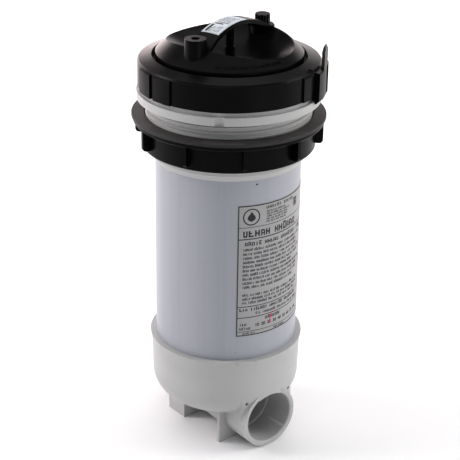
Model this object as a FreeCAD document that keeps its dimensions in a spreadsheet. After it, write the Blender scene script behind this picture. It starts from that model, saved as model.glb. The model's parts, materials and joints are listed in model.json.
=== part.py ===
import FreeCAD, Part
import Sketcher
import math
import os
import re

# Top-load cartridge filter housing, in millimetres.
# Frame: the feet stand on Z = 0, the housing's axis is Z, and the inlet port looks along -Y.

doc = FreeCAD.newDocument("FilterHousing")
dim = doc.addObject("Spreadsheet::Sheet", "dim")

SIZES = {
    # moulded base cup
    "cup_top": 117.5, "cup_rim_radius": 86.0, "cup_neck_z": 107.0, "cup_neck_radius": 84.4,
    "cup_shoulder_z": 70.0, "cup_shoulder_radius": 83.4, "bowl_round": 30.0, "bowl_bottom": 40.0,
    "base_wall": 4.5, "socket_floor": 80.0, "floor_low": 72.0, "floor_high": 77.0,
    "glue_gap": 0.05, "divider_front": -31.0, "divider_back": -25.0,
    # pipe ports, two in line
    "port_axis_z": 36.25, "port_outer": 35.75, "port_bore": 30.2, "port_reach": 82.0,
    "port_depth": 38.0, "port_throat": 27.0, "port_lead": 1.2, "port_sleeve": 37.0,
    "port_stop": 3.0,
    "dimple_across": 30.0, "dimple_z": 62.0, "dimple_radius": 1.7, "dimple_depth": 4.0,
    # feet
    "plate_half": 43.0, "plate_y": -45.0, "plate_thick": 4.0, "plate_high": 46.0,
    "foot_inner": 17.0, "foot_outer": 43.0, "foot_front": 22.0, "foot_back": 52.0,
    "foot_high": 46.0, "foot_wall": 3.5, "foot_hollow": 30.0,
    # openings in the base floor
    "window_radius": 6.5, "window_circle": 66.0, "window_first": 22.0, "window_step": 15.5,
    "spigot_outer": 26.5, "spigot_bore": 22.0, "spigot_top": 95.5,
    "spigot_ledge": 34.0, "spigot_ledge_top": 84.0,
    # tube
    "tube_radius": 79.4, "tube_wall": 4.5, "tube_top": 385.0,
    # threaded collar
    "collar_foot": 330.5, "collar_foot_radius": 81.0, "collar_flare_z": 338.0,
    "collar_flare_radius": 86.0, "deck_start": 342.0, "deck_root": 87.4, "deck_crest": 89.6,
    "deck_pitch": 5.5, "deck_turns": 9.0, "deck_helix_z": 344.5,
    "rim_low": 397.4, "rim_high": 406.2, "rim_radius": 98.8, "neck_radius": 95.0,
    "neck_high": 410.5, "seat_root": 90.6, "seat_crest": 92.6, "seat_pitch": 6.0,
    "seat_turns": 2.25, "seat_helix_z": 414.6, "collar_top": 430.8, "mouth_radius": 76.0,
    "notch_radius": 6.5, "notch_out": 3.5, "notch_angle": -133.9,
    "flank": 1.0, "crest_half": 0.75, "thread_sink": 0.2,
    # mounting nut and its gasket
    "nut_low": 344.5, "nut_high": 376.4, "nut_bore": 90.2, "nut_radius": 93.8,
    "nut_flange_low": 371.8, "nut_flange": 102.8, "nut_ridge": 88.1, "nut_ridge_half": 0.5,
    "nut_helix_turns": 4, "nut_helix_z": 347.25, "lug_count": 10, "lug_thick": 4.0,
    "lug_reach": 102.2, "lug_low": 349.6, "lug_round": 4.0, "lug_angle": -10.4,
    "gasket_low": 376.6, "gasket_high": 380.0, "gasket_radius": 104.5, "gasket_bore": 90.4,
    # lock ring
    "ring_low": 411.0, "ring_wall_top": 437.8, "ring_radius": 97.5, "ring_bore": 93.2,
    "ring_shoulder_z": 439.8, "ring_shoulder": 96.0, "ring_lip_z": 443.6, "ring_lip": 82.6,
    "ring_eye": 82.0, "ring_eye_z": 443.0, "ring_ledge": 438.0, "ring_ridge": 91.3,
    "ring_ridge_half": 0.5, "ring_helix_z": 417.6, "ring_helix_turns": 1.6,
    "pad_radius": 99.5, "pad_angle": 14.4, "pad_pitch": 18.0, "pad_centre": -61.9,
    "pad_top": 437.2, "pad_root": 95.5,
    # lock tab and its housing on the ring
    "tab_angle": -52.0, "tab_half_angle": 13.5, "tab_outer": 104.5, "tab_low": 404.0,
    "tab_high": 437.6, "tab_clear": 99.3, "tab_bevel": 3.5,
    "slot_inner": 98.2, "slot_half": 9.4, "lever_half": 9.0, "lever_inner": 99.9,
    "lever_outer": 103.1, "lever_low": 404.6, "lever_high": 461.0, "lever_round": 4.5,
    "tooth_inner": 99.2, "tooth_high": 408.8, "pivot_radius": 101.5, "pivot_z": 431.0,
    "pin_radius": 1.45, "pin_half": 14.0, "pin_ear_hole": 1.46, "pin_lever_hole": 1.53,
    "recess_angle": -68.5, "recess_out": 96.5, "recess_z": 443.2, "recess_radius": 6.5,
    # lid
    "lid_top": 480.0, "dome_radius": 109.2, "lid_edge": 78.5, "lid_flange": 90.8,
    "lid_seat": 431.0, "lid_flange_top": 437.6, "lid_wall": 4.5, "skirt_radius": 74.6,
    "skirt_low": 424.6, "lid_hollow": 70.0, "handle_angle": 16.6,
    "scoop_long": 61.0, "scoop_wide": 86.6, "scoop_deep": 28.0, "scoop_z": 470.0,
    "scoop_wall": 4.0, "band_foot_half": 15.8, "band_reach": 64.0,
    "band_side": 429.0, "post_radius": 4.2, "post_foot_radius": 5.4, "post_foot_z": 451.0,
    "post_low": 440.0, "post_high": 477.0,
    "boss_offset": 60.7, "boss_low": 446.0, "gauge_boss": 11.3, "gauge_boss_foot": 12.0,
    "gauge_boss_top": 474.0, "gauge_hole": 4.35, "gauge_lead": 0.7,
    "relief_boss": 13.5, "relief_boss_top": 462.0, "relief_hole": 4.35,
    "relief_well": 6.6, "relief_well_low": 457.4, "boss_round": 1.2, "knob_pocket": 9.6,
    "groove_inner": 81.6, "groove_outer": 87.4, "groove_top": 433.6,
    "seal_inner": 82.0, "seal_outer": 87.0, "seal_low": 431.1, "seal_high": 433.4,
    # air relief screw
    "screw_stem": 4.1, "screw_low": 444.0, "knob_low": 462.5, "knob_high": 473.5,
    "knob_radius": 8.4, "knob_flutes": 8, "flute_radius": 1.7,
    "ring_seal_inner": 4.4, "ring_seal_outer": 6.3, "ring_seal_low": 457.7,
    "ring_seal_high": 460.2,
    # labels
    "label_skin": 0.3, "label_gap": 0.03, "label_low": 147.0, "label_high": 302.0,
    "label_start": -120.4, "label_sweep": 120.0,
    "sticker_from": -36.0, "sticker_to": 14.0, "sticker_half": 11.0,
    # cartridge
    "cap_radius": 62.7, "cap_eye": 27.2, "cap_thick": 12.0, "cartridge_low": 84.0,
    "cartridge_long": 338.0, "core_inner": 25.0, "core_outer": 27.5,
    "core_slot_long": 22.0, "core_slot_wide": 8.0, "core_columns": 6, "core_rows": 9,
    "media_inner": 28.0, "media_valley": 47.0, "media_outer": 61.5, "media_pleats": 60,
    # bypass valve
    "valve_out": 51.0, "valve_angle": 20.0, "valve_hole": 14.0, "seat_outer": 13.95, "seat_flange": 16.5,
    "seat_flange_top": 79.5, "seat_bore": 9.0, "seat_low": 70.5, "cage_outer": 15.5,
    "cage_inner": 12.1, "cage_low": 47.6, "cage_floor": 49.5, "cage_eye": 5.0,
    "cage_high": 71.9, "cage_window_low": 52.0, "cage_window_high": 66.0,
    "cage_window_half": 5.0, "poppet_radius": 11.6, "poppet_cup": 10.1, "poppet_low": 61.0,
    "poppet_face": 67.4, "poppet_high": 70.2, "spring_radius": 8.0, "wire_radius": 0.7,
    "spring_low": 50.3, "spring_pitch": 3.2, "spring_turns": 5,
}
for row, (alias, number) in enumerate(SIZES.items(), start=1):
    dim.set(f"A{row}", alias)
    dim.set(f"B{row}", str(number))
    dim.setAlias(f"B{row}", alias)
doc.recompute()

WORD = re.compile(r"[a-z][a-z0-9_]*")
SPIN = "Placement.Rotation.Angle"


def linked(expression):
    """The expression with each alias written as a reference to the sheet."""
    def reference(found):
        word = found.group(0)
        return "dim." + word if word in SIZES else word

    return WORD.sub(reference, str(expression))


def value(expression):
    """The number that an expression on the sheet gives now."""
    return float(dim.evalExpression(linked(expression)))


def bind(obj, links):
    """Binds properties of an object to expressions on the sheet."""
    for path, expression in links.items():
        obj.setExpression(path, linked(expression))
    return obj


def place(obj, x=None, y=None, z=None, turn=None):
    """Binds an object's position, and its turn about Z."""
    if turn is not None:
        obj.Placement = FreeCAD.Placement(
            FreeCAD.Vector(), FreeCAD.Rotation(FreeCAD.Vector(0, 0, 1), 1)
        )
        bind(obj, {SPIN: turn})
    base = {"Placement.Base.x": x, "Placement.Base.y": y, "Placement.Base.z": z}
    return bind(obj, {path: text for path, text in base.items() if text is not None})


def polar(distance, angle):
    """The x and y expressions of a point at a distance and an angle from the axis."""
    x = f"({distance}) * cos(({angle}) * 1 deg)"
    y = f"({distance}) * sin(({angle}) * 1 deg)"
    return x, y


# ---- primitives and booleans ----


def cylinder(name, radius, low, high, x=None, y=None, turn=None, sweep=None):
    """An upright cylinder, or a sector of one, between two heights."""
    made = doc.addObject("Part::Cylinder", name)
    bind(made, {"Radius": radius, "Height": f"({high}) - ({low})"})
    if sweep is not None:
        bind(made, {"Angle": sweep})
    return place(made, x, y, low, turn)


def pipe(name, radius, front, back, x=None, z=None):
    """A cylinder along Y, from y = front to y = back."""
    made = doc.addObject("Part::Cylinder", name)
    made.Placement = FreeCAD.Placement(
        FreeCAD.Vector(), FreeCAD.Rotation(FreeCAD.Vector(1, 0, 0), -90)
    )
    bind(made, {"Radius": radius, "Height": f"({back}) - ({front})"})
    return place(made, x, front, z)


def cone(name, low_radius, high_radius, low, high, x=None, y=None):
    """An upright cone between two heights."""
    made = doc.addObject("Part::Cone", name)
    bind(made, {"Radius1": low_radius, "Radius2": high_radius})
    bind(made, {"Height": f"({high}) - ({low})"})
    return place(made, x, y, low)


def block(name, xs, ys, zs):
    """A box from its three pairs of limits."""
    made = doc.addObject("Part::Box", name)
    for side, (low, high) in zip(("Length", "Width", "Height"), (xs, ys, zs)):
        bind(made, {side: f"({high}) - ({low})"})
    return place(made, xs[0], ys[0], zs[0])


def ellipsoid(name, long, wide, deep, z):
    """A full ellipsoid, long in X, wide in Y and deep in Z."""
    made = doc.addObject("Part::Ellipsoid", name)
    bind(made, {"Radius1": deep, "Radius2": long, "Radius3": wide})
    made.Angle1 = -90
    made.Angle2 = 90
    made.Angle3 = 360
    return place(made, z=z)


def fuse(name, *pieces):
    """One solid from several that meet."""
    made = doc.addObject("Part::MultiFuse", name)
    made.Shapes = list(pieces)
    made.Refine = False
    return made


def cut(name, base, *tools):
    """A base solid with one or more tools taken away."""
    made = doc.addObject("Part::Cut", name)
    made.Base = base
    made.Tool = tools[0] if len(tools) == 1 else fuse(name + "_tools", *tools)
    return made


def common(name, base, tool):
    """What two solids share."""
    made = doc.addObject("Part::Common", name)
    made.Base = base
    made.Tool = tool
    return made


# ---- sketches and bodies ----


def origin_plane(body, role):
    """A body's own origin plane."""
    return next(f for f in body.Origin.OriginFeatures if f.Role == role)


def blank_sketch(body, name, role):
    """An empty sketch on one of a body's origin planes."""
    sketch = body.newObject("Sketcher::SketchObject", name)
    sketch.AttachmentSupport = [(origin_plane(body, role), "")]
    sketch.MapMode = "FlatFace"
    return sketch


def arc_middle(start, end, radius, side):
    """The middle point of an arc of a radius that bulges to one side of its chord."""
    half = (end - start) * 0.5
    sagitta = radius - math.sqrt(max(radius * radius - half.Length**2, 0.0))
    across = FreeCAD.Vector(-half.y, half.x, 0).normalize()
    return start + half + across * (side * sagitta)


def outline(body, name, role, points):
    """A closed sketch through points bound to the sheet.

    A point is (x, y), or (x, y, radius, side) where the edge that ends there is an arc.
    """
    sketch = blank_sketch(body, name, role)
    corners = [FreeCAD.Vector(value(p[0]), value(p[1]), 0) for p in points]
    count = len(points)
    for index in range(count):
        start, end = corners[index], corners[(index + 1) % count]
        target = points[(index + 1) % count]
        if len(target) == 4:
            middle = arc_middle(start, end, value(target[2]), target[3])
            edge = Part.Arc(start, middle, end)
        else:
            edge = Part.LineSegment(start, end)
        sketch.addGeometry(edge, False)
    for index in range(count):
        tie_ends(sketch, index, (index + 1) % count, corners)
    for index, point in enumerate(points):
        pin_point(sketch, index, start_of(sketch, index, corners[index]), point)
        if len(point) == 4:
            edge = (index - 1) % count
            number = sketch.addConstraint(new_constraint("Radius", edge, value(point[2])))
            sketch.setExpression(f"Constraints[{number}]", linked(point[2]))
    return sketch


def new_constraint(*arguments):
    """A sketch constraint."""
    return Sketcher.Constraint(*arguments)


def start_of(sketch, edge, corner):
    """Which end of an edge, 1 or 2, lies on a corner."""
    first = sketch.getPoint(edge, 1)
    return 1 if (first - corner).Length < 1e-6 else 2


def tie_ends(sketch, edge, following, corners):
    """Ties the end of one edge to the start of the next."""
    corner = corners[following]
    mine = start_of(sketch, edge, corner)
    theirs = start_of(sketch, following, corner)
    sketch.addConstraint(new_constraint("Coincident", edge, mine, following, theirs))


def pin_point(sketch, edge, end, point):
    """Binds one corner's two coordinates, or puts it on an axis where one is zero."""
    for kind, axis, text in (("DistanceX", -2, point[0]), ("DistanceY", -1, point[1])):
        if text == "0":
            sketch.addConstraint(new_constraint("PointOnObject", edge, end, axis))
        else:
            made = new_constraint(kind, -1, 1, edge, end, value(text))
            number = sketch.addConstraint(made)
            sketch.setExpression(f"Constraints[{number}]", linked(text))


def circle_sketch(body, name, role, x, y, radius):
    """A sketch of one circle bound to the sheet."""
    sketch = blank_sketch(body, name, role)
    centre = FreeCAD.Vector(value(x), value(y), 0)
    sketch.addGeometry(Part.Circle(centre, FreeCAD.Vector(0, 0, 1), value(radius)), False)
    pin_point(sketch, 0, 3, (x, y))
    number = sketch.addConstraint(new_constraint("Radius", 0, value(radius)))
    sketch.setExpression(f"Constraints[{number}]", linked(radius))
    return sketch


def new_body(name):
    """An empty PartDesign body."""
    return doc.addObject("PartDesign::Body", name)


def turned(name, points):
    """A body turned about Z from a half section of (radius, z) points."""
    body = new_body(name)
    sketch = outline(body, name + "_section", "XZ_Plane", points)
    turn = body.newObject("PartDesign::Revolution", name + "_turn")
    turn.Profile = sketch
    turn.ReferenceAxis = (sketch, ["V_Axis"])
    turn.Angle = 360
    return body


def tube(name, inner, outer, low, high):
    """A plain ring turned about Z."""
    return turned(name, [(inner, low), (outer, low), (outer, high), (inner, high)])


def thread(body, name, sunk, crest, half, z, pitch, turns):
    """A helical ridge about Z, from just inside the wall at radius sunk out to radius crest."""
    wide = f"({half}) + flank"
    section = [
        (sunk, f"({z}) - ({wide})"), (crest, f"({z}) - ({half})"),
        (crest, f"({z}) + ({half})"), (sunk, f"({z}) + ({wide})"),
    ]
    doc.recompute()
    sketch = outline(body, name + "_section", "XZ_Plane", section)
    ridge = body.newObject("PartDesign::AdditiveHelix", name)
    ridge.Profile = sketch
    ridge.ReferenceAxis = (sketch, ["V_Axis"])
    ridge.Mode = 0
    bind(ridge, {"Pitch": pitch, "Height": f"({pitch}) * ({turns})"})
    return body


def padded(name, role, points, length):
    """A body padded from an outline, centred on its plane."""
    body = new_body(name)
    sketch = outline(body, name + "_outline", role, points)
    pad = body.newObject("PartDesign::Pad", name + "_pad")
    pad.Profile = sketch
    pad.Midplane = True
    bind(pad, {"Length": length})
    return body


NODES = []


def node(obj, label):
    """Names a finished sub-part; its label is its file's name."""
    obj.Label = label
    NODES.append(obj)
    return obj


# ---- base cap ----


def cup_section(inset, top):
    """Half section of the rounded cup, taken in by a wall thickness, up to a height."""
    bottom = f"bowl_bottom + {inset}"
    side = f"cup_shoulder_radius - {inset}"
    return [
        ("0", bottom), ("cup_shoulder_radius - bowl_round", bottom),
        (side, "cup_shoulder_z", f"bowl_round - {inset}", -1), (side, top), ("0", top),
    ]


def base_hollow(name, front, back):
    """One water chamber of the base: the bowl and the pipe between two planes across Y."""
    bowl = turned(name + "_bowl", cup_section("base_wall", "floor_low"))
    seat = "port_reach - port_depth"
    sleeves = [
        pipe(f"{name}_sleeve_{word}", "port_sleeve", low, high, z="port_axis_z")
        for word, low, high in (("front", "-100", f"port_stop - ({seat})"),
                                ("back", f"{seat} - port_stop", "100"))
    ]
    throat = pipe(name + "_throat", "port_throat", f"-({seat}) - 1", f"{seat} + 1",
                  z="port_axis_z")
    limits = block(name + "_limits", ("-100", "100"), (front, back), ("0", "floor_low"))
    room = fuse(name + "_room", cut(name + "_bowl_cut", bowl, *sleeves), throat)
    return common(name, room, limits)


def port_tools(name, mouth, inner):
    """The socket, its lead-in and the two dimples of one port."""
    sign = 1 if value(mouth) > 0 else -1
    low, high = sorted((f"1.1 * {mouth}", inner), key=value)
    lead_inner = f"{mouth} - {sign} * port_lead"
    tools = [pipe(name + "_socket", "port_bore", low, high, z="port_axis_z")]
    lead = doc.addObject("Part::Cone", name + "_lead")
    lead.Placement = FreeCAD.Placement(
        FreeCAD.Vector(), FreeCAD.Rotation(FreeCAD.Vector(1, 0, 0), -90 * sign)
    )
    bind(lead, {"Radius1": "port_bore", "Radius2": "port_bore + port_lead"})
    bind(lead, {"Height": "port_lead"})
    tools.append(place(lead, y=lead_inner, z="port_axis_z"))
    skin = "sqrt(cup_shoulder_radius^2 - dimple_across^2)"
    for side in (-1, 1):
        deep = f"{sign} * ({skin} - dimple_depth)"
        out = f"{sign} * ({skin} + dimple_depth)"
        near, far = sorted((deep, out), key=value)
        tools.append(pipe(f"{name}_dimple_{side + 1}", "dimple_radius", near, far,
                          x=f"{side} * dimple_across", z="dimple_z"))
    return tools


def base_cap():
    """The moulded base: cup, two sockets in line, feet, floor plate and outlet spigot."""
    section = cup_section("0", "cup_shoulder_z")[:3] + [
        ("cup_neck_radius", "cup_neck_z"), ("cup_rim_radius", "cup_top"), ("0", "cup_top"),
    ]
    cup = turned("cup", section)
    arch = common(
        "arch",
        block("arch_block", ("-port_outer", "port_outer"), ("-100", "100"),
              ("port_axis_z", "cup_shoulder_z")),
        cylinder("arch_limit", "cup_shoulder_radius", "0", "cup_top"),
    )
    run = pipe("pipe_run", "port_outer", "-port_reach", "port_reach", z="port_axis_z")
    plate = block("front_plate", ("-plate_half", "plate_half"),
                  ("plate_y", "plate_y + plate_thick"), ("0", "plate_high"))
    feet, hollows = [], []
    for side, name in ((-1, "left"), (1, "right")):
        xs = sorted((f"{side} * foot_inner", f"{side} * foot_outer"), key=value)
        feet.append(block(f"foot_{name}", xs, ("foot_front", "foot_back"), ("0", "foot_high")))
        inner = (f"{xs[0]} + foot_wall", f"{xs[1]} - foot_wall")
        hollow = block(f"foot_{name}_hollow", inner,
                       ("foot_front + foot_wall", "foot_back - foot_wall"),
                       ("-1", "foot_hollow"))
        hollows.append(cut(f"foot_{name}_pocket", hollow,
                           pipe(f"foot_{name}_keep", "port_outer", "0", "port_reach",
                                z="port_axis_z")))
    valve_x, valve_y = polar("valve_out", "valve_angle")
    tools = [
        cylinder("tube_socket", "tube_radius + glue_gap", "socket_floor", "cup_top + 1"),
        cylinder("tube_ledge", "tube_radius - tube_wall", "floor_high", "cup_top"),
        base_hollow("inlet_room", "-100", "divider_front"),
        base_hollow("outlet_room", "divider_back", "100"),
        cylinder("valve_opening", "valve_hole", "floor_low - 1", "floor_high + 1",
                 valve_x, valve_y),
    ]
    tools += port_tools("inlet", "-port_reach", "port_depth - port_reach")
    tools += port_tools("outlet", "port_reach", "port_reach - port_depth")
    for index in range(6):
        side = 1 if index % 2 else -1
        x, y = polar("window_circle", f"{side} * (window_first + {index // 2} * window_step) - 90")
        tools.append(cylinder(f"window_{index}", "window_radius", "floor_low - 1",
                              "floor_high + 1", x, y))
    body = cut("base_hollowed", fuse("base_mass", cup, arch, run, plate, *feet),
               *tools, *hollows)
    spigot = fuse("spigot",
                  cylinder("spigot_pipe", "spigot_outer", "floor_low", "spigot_top"),
                  cylinder("spigot_shelf", "spigot_ledge", "floor_low", "spigot_ledge_top"))
    through = cylinder("spigot_way", "spigot_bore", "floor_low - 1", "spigot_top + 1")
    node(cut("base", fuse("base_joined", body, spigot), through), "base_cap")


# ---- tube, collar, nut and gasket ----


def filter_body():
    """The plain tube, let into the base cup and the collar."""
    node(tube("shell", "tube_radius - tube_wall", "tube_radius", "socket_floor", "tube_top"),
         "filter_body")


def threaded_collar():
    """The collar on the tube's top: deck thread, deck rim, neck and lock-ring thread."""
    fit = "tube_radius + glue_gap"
    body = turned("collar", [
        (fit, "collar_foot"), ("collar_foot_radius", "collar_foot"),
        ("collar_flare_radius", "collar_flare_z"), ("collar_flare_radius", "deck_start - 1"),
        ("deck_root", "deck_start"), ("deck_root", "rim_low"), ("rim_radius", "rim_low"),
        ("rim_radius", "rim_high"), ("neck_radius", "rim_high"),
        ("neck_radius", "neck_high"), ("seat_root", "neck_high + 1"),
        ("seat_root", "collar_top"), ("mouth_radius", "collar_top"),
        ("mouth_radius", "collar_top - 12"),
        ("tube_radius - tube_wall", "collar_top - 14"),
        ("tube_radius - tube_wall", "tube_top"), (fit, "tube_top"),
    ])
    thread(body, "deck_thread", "deck_root - thread_sink", "deck_crest", "crest_half",
           "deck_helix_z", "deck_pitch", "deck_turns")
    thread(body, "seat_thread", "seat_root - thread_sink", "seat_crest", "crest_half",
           "seat_helix_z", "seat_pitch", "seat_turns")
    notches = []
    for index in range(2):
        x, y = polar("rim_radius + notch_out", f"notch_angle + {180 * index}")
        notches.append(cylinder(f"notch_{index}", "notch_radius", "rim_low + 0.01",
                                "rim_high + 0.2", x, y))
    node(cut("collar_notched", body, *notches), "threaded_collar")


def mounting_nut():
    """The deck nut: internal thread, flange and ten radial lugs."""
    body = turned("nut", [
        ("nut_bore", "nut_low"), ("nut_radius - 0.6", "nut_low"),
        ("nut_radius", "nut_low + 1"), ("nut_radius", "nut_flange_low"),
        ("nut_flange - 0.6", "nut_flange_low"), ("nut_flange", "nut_flange_low + 0.8"),
        ("nut_flange", "nut_high"), ("nut_bore", "nut_high"),
    ])
    doc.recompute()
    reach, low = "lug_reach", "lug_low"
    sketch = outline(body, "lug_outline", "XZ_Plane", [
        ("nut_radius - 1", low), (f"{reach} - lug_round", low),
        (reach, f"{low} + lug_round", "lug_round", -1), (reach, "nut_flange_low + 0.5"),
        ("nut_radius - 1", "nut_flange_low + 0.5"),
    ])
    lug = body.newObject("PartDesign::Pad", "lug")
    lug.Profile = sketch
    lug.Midplane = True
    bind(lug, {"Length": "lug_thick"})
    doc.recompute()
    ring = body.newObject("PartDesign::PolarPattern", "lug_ring")
    ring.Originals = [lug]
    ring.Axis = (sketch, ["V_Axis"])
    ring.Angle = 360
    bind(ring, {"Occurrences": "lug_count"})
    body.Tip = ring
    doc.recompute()
    in_mesh = "nut_helix_z + deck_pitch * lug_angle / 360"
    thread(body, "nut_thread", "nut_bore + thread_sink", "nut_ridge", "nut_ridge_half",
           in_mesh, "deck_pitch", "nut_helix_turns")
    node(place(body, turn="lug_angle"), "mounting_nut")


def mounting_gasket():
    """The flat gasket that lies on the nut's flange, under the deck."""
    node(tube("gasket", "gasket_bore", "gasket_radius", "gasket_low", "gasket_high"),
         "mounting_gasket")


# ---- lock ring and lock tab ----


def ring_pads():
    """Three pairs of raised grip pads round the ring."""
    sectors = []
    for index in range(6):
        middle = f"pad_centre + {120 * (index // 2)} + {2 * (index % 2) - 1} * pad_pitch / 2"
        sectors.append(cylinder(f"pad_{index}", "pad_radius + 5", "ring_low", "ring_wall_top",
                                turn=f"{middle} - pad_angle / 2", sweep="pad_angle"))
    envelope = turned("pad_envelope", [
        ("pad_root", "ring_low"), ("pad_radius - 0.5", "ring_low"),
        ("pad_radius", "ring_low + 0.6"), ("pad_radius", "pad_top - 1.4"),
        ("pad_radius - 1.4", "pad_top"), ("pad_root", "pad_top"),
    ])
    return common("pads", fuse("pad_sectors", *sectors), envelope)


def tab_housing():
    """The raised housing on the ring that carries the lock tab, hanging past the deck rim."""
    envelope = turned("tab_envelope", [
        ("tab_clear", "tab_low"), ("tab_outer - tab_bevel", "tab_low"),
        ("tab_outer", "tab_low + tab_bevel"), ("tab_outer", "tab_high - 1"),
        ("tab_outer - 1", "tab_high"), ("pad_root", "tab_high"),
        ("pad_root", "ring_low"), ("tab_clear", "ring_low"),
    ])
    sector = cylinder("tab_sector", "tab_outer + 5", "tab_low - 1", "tab_high + 1",
                      turn="tab_angle - tab_half_angle", sweep="2 * tab_half_angle")
    return common("tab_block", envelope, sector)


def lock_ring():
    """The ring that screws down on the collar and holds the lid by its flange."""
    body = turned("ring", [
        ("ring_bore", "ring_low"), ("ring_radius - 0.4", "ring_low"),
        ("ring_radius", "ring_low + 0.5"), ("ring_radius", "ring_wall_top"),
        ("ring_shoulder", "ring_shoulder_z"), ("ring_lip", "ring_lip_z"),
        ("ring_eye", "ring_eye_z"), ("ring_eye", "ring_ledge"), ("ring_bore", "ring_ledge"),
    ])
    thread(body, "ring_thread", "ring_bore + thread_sink", "ring_ridge", "ring_ridge_half",
           "ring_helix_z", "seat_pitch", "ring_helix_turns")
    slot = block("tab_slot", ("slot_inner", "tab_outer + 2"), ("-slot_half", "slot_half"),
                 ("tab_low - 1", "tab_high + 4"))
    x, y = polar("slot_inner", "tab_angle")
    across_x, across_y = polar("slot_half", "tab_angle - 90")
    place(slot, x=f"{x} + {across_x}", y=f"{y} + {across_y}", turn="tab_angle")
    recess = doc.addObject("Part::Sphere", "tab_recess")
    bind(recess, {"Radius": "recess_radius"})
    x, y = polar("recess_out", "recess_angle")
    place(recess, x, y, "recess_z")
    hole = pin_rod("ear_hole", "pin_ear_hole", "pin_half + 0.2")
    padded_ring = fuse("ring_padded", body, ring_pads())
    node(cut("ring_cut", fuse("ring_joined", padded_ring, tab_housing()),
             slot, recess, hole), "lock_ring")


def pin_rod(name, radius, half):
    """A rod along the lock tab's pivot line."""
    rod = doc.addObject("Part::Cylinder", name)
    lying = FreeCAD.Rotation(FreeCAD.Vector(1, 0, 0), -90)
    turn = FreeCAD.Rotation(FreeCAD.Vector(0, 0, 1), value("tab_angle"))
    rod.Placement = FreeCAD.Placement(FreeCAD.Vector(), turn.multiply(lying))
    bind(rod, {"Radius": radius, "Height": f"2 * ({half})"})
    x, y = polar("pivot_radius", "tab_angle")
    back_x, back_y = polar(half, "tab_angle - 90")
    return place(rod, f"{x} + {back_x}", f"{y} + {back_y}", "pivot_z")


def lock_tab():
    """The lever that stops the ring from turning, and its pin."""
    side = padded("lever_side", "XZ_Plane", [
        ("tooth_inner", "lever_low + 1"), ("tooth_inner + 1", "lever_low"),
        ("lever_outer - 1", "lever_low"), ("lever_outer", "lever_low + 1"),
        ("lever_outer", "lever_high - 3"), ("lever_outer - 1", "lever_high"),
        ("lever_inner + 0.9", "lever_high"), ("lever_inner", "lever_high - 3"),
        ("lever_inner", "tooth_high + 0.9"), ("tooth_inner", "tooth_high"),
    ], "2 * lever_half")
    half, high, turn = "lever_half", "lever_high", "lever_round"
    face = padded("lever_face", "YZ_Plane", [
        (f"-{half}", "lever_low - 1"), (half, "lever_low - 1"), (half, f"{high} - {turn}"),
        (f"{half} - {turn}", high, turn, 1), (f"{turn} - {half}", high),
        (f"-{half}", f"{high} - {turn}", turn, 1),
    ], "4 * lever_outer")
    for body in (side, face):
        place(body, turn="tab_angle")
    hole = pin_rod("lever_hole", "pin_lever_hole", "lever_half + 1")
    node(cut("lever_bored", common("lever", side, face), hole), "lock_tab")
    node(pin_rod("pivot", "pin_radius", "pin_half"), "lock_tab_pin")


# ---- lid ----


def dome_height(radius, drop="0"):
    """The dome's height at a radius, taken in by a thickness."""
    inner = f"dome_radius - {drop}"
    return f"lid_top - dome_radius + sqrt(({inner})^2 - ({radius})^2)"


def lid_mass():
    """The domed lid with its flange, skirt, scoops and cored underside."""
    dome = turned("dome", [
        ("0", "skirt_low"), ("skirt_radius - 0.8", "skirt_low"),
        ("skirt_radius", "skirt_low + 1.2"), ("skirt_radius", "lid_seat"),
        ("lid_flange", "lid_seat"), ("lid_flange", "lid_flange_top - 0.6"),
        ("lid_flange - 0.6", "lid_flange_top"), ("lid_edge", "lid_flange_top"),
        ("lid_edge", dome_height("lid_edge")), ("0", "lid_top", "dome_radius", -1),
    ])
    core = turned("dome_core", [
        ("0", "skirt_low - 1"), ("lid_hollow", "skirt_low - 1"),
        ("lid_hollow", dome_height("lid_hollow", "lid_wall")),
        ("0", "lid_top - lid_wall", "dome_radius - lid_wall", -1),
    ])
    scoop = ellipsoid("scoop", "scoop_long", "scoop_wide", "scoop_deep", "scoop_z")
    shell = ellipsoid("scoop_shell", "scoop_long + scoop_wall", "scoop_wide + scoop_wall",
                      "scoop_deep + scoop_wall", "scoop_z")
    return cut("lid_scooped", dome, scoop, cut("lid_core", core, shell))


def handle():
    """The band across the scoops, which follows the dome, and the post under it."""
    crust = turned("crust", [
        ("0", "lid_top - lid_wall"),
        ("band_reach", dome_height("band_reach", "lid_wall"), "dome_radius - lid_wall", 1),
        ("band_reach", dome_height("band_reach")), ("0", "lid_top", "dome_radius", -1),
    ])
    foot, reach = "band_foot_half", "band_reach"
    plan = padded("band_plan", "XY_Plane", [
        (f"-{reach}", f"-{foot}"), (reach, f"-{foot}", "band_side", 1),
        (reach, foot), (f"-{reach}", foot, "band_side", 1),
    ], "2 * lid_top")
    band = common("band", crust, plan)
    post = cylinder("post", "post_radius", "post_low", "post_high")
    foot_post = cylinder("post_foot", "post_foot_radius", "post_low", "post_foot_z")
    return [band, post, foot_post]


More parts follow.
